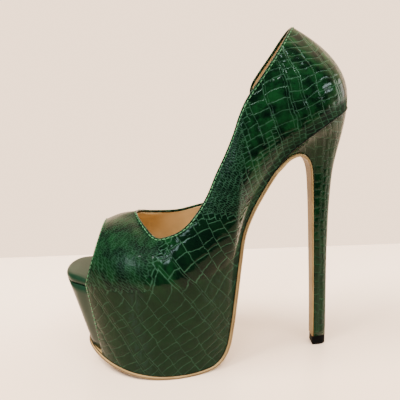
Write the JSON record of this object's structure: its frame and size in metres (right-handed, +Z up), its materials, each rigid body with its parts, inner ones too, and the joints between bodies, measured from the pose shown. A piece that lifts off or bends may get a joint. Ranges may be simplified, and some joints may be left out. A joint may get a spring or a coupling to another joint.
{
  "type": "peep toe pump",
  "caption": "Left platform pump with a peep toe, embossed green leather over a hidden platform, half open inner side and a covered stiletto heel.",
  "frame": {"origin": "on the floor, in the middle of the shoe's plan outline", "axes": "+Z up from the floor, -X towards the toe, -Y towards the outer side of the foot (left shoe)"},
  "size_m": [0.1834, 0.08, 0.2119],
  "materials": {
    "upper": "glossy embossed green",
    "insole": "smooth glossy green",
    "sock_lining": "smooth tan",
    "platform": "smooth glossy green",
    "outsole": "satin tan",
    "heel": "glossy embossed green",
    "heel_tip": "satin black"
  },
  "bodies": {
    "root": {"upper": "upper", "insole": "insole", "sock_lining": "sock_lining", "platform": "platform", "outsole": "outsole", "heel": "heel", "heel_tip": "heel_tip"}
  },
  "joints": []
}
